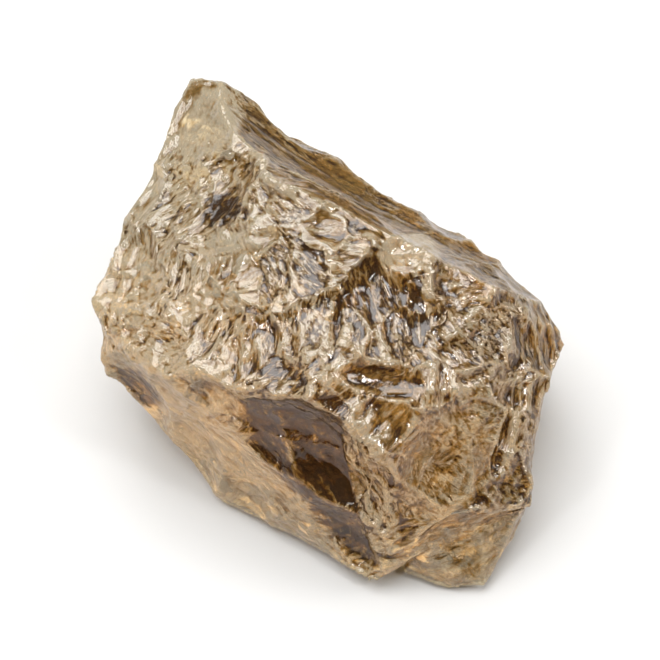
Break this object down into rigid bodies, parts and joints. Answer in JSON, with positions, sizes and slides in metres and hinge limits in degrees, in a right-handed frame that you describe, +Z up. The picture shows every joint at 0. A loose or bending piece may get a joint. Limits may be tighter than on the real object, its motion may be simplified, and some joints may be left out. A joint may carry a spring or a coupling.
{
  "type": "smoky quartz crystal",
  "caption": "Rough see-through brown quartz chunk, broken all over into shell-shaped hollows and sharp ridges, with a flat face to rest on; a display stone.",
  "frame": {"origin": "on the floor, under the middle of the stone's box", "axes": "+Z up from the face it rests on, +X to the right and -Y towards the viewer as the picture shows it"},
  "size_m": [0.0406, 0.042, 0.0258],
  "materials": {
    "smoky_quartz": "see-through smoky brown with broken, glassy faces"
  },
  "bodies": {
    "root": {"quartz_crystal": "smoky_quartz"}
  },
  "joints": []
}
